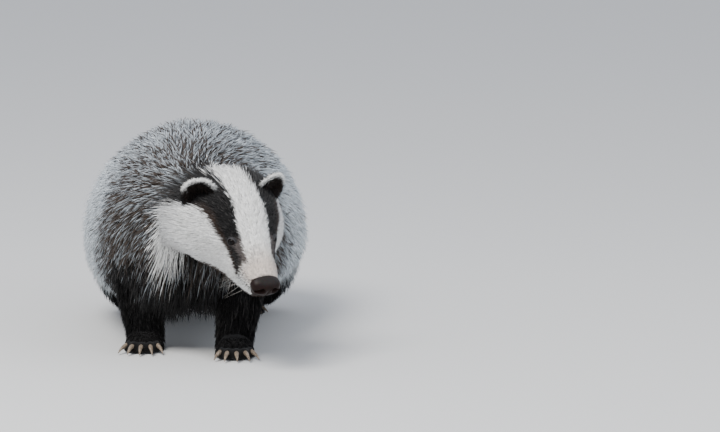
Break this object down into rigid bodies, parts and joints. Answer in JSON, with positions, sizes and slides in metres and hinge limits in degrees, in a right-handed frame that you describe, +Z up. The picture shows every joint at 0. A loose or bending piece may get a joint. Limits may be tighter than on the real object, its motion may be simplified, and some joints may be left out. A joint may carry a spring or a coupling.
{
  "type": "european badger cub",
  "caption": "Still, life-size model of a young badger walking with its head low and turned to its left.",
  "frame": {"origin": "middle of the bounding box, level with the soles", "axes": "-Y is the way the body faces, +X its left side, +Z up"},
  "size_m": [0.2302, 0.545, 0.2081],
  "materials": {
    "coat": "long grizzled fur",
    "short_fur": "short fur, white with black stripes",
    "dark_fur": "short black fur, with horn claws",
    "ear_fur": "short dark fur with a white rim",
    "nose_leather": "moist bare skin",
    "eye": "wet"
  },
  "bodies": {
    "root": {"ear_left": "ear_fur", "ear_right": "ear_fur", "eye_left": "eye", "eye_right": "eye", "foot_front_left": "dark_fur", "foot_front_right": "dark_fur", "foot_hind_left": "dark_fur", "foot_hind_right": "dark_fur", "head": "short_fur", "leg_front_left": "dark_fur", "leg_front_right": "dark_fur", "leg_hind_left": "dark_fur", "leg_hind_right": "dark_fur", "neck": "coat", "nose": "nose_leather", "tail": "coat", "torso": "coat"}
  },
  "joints": []
}
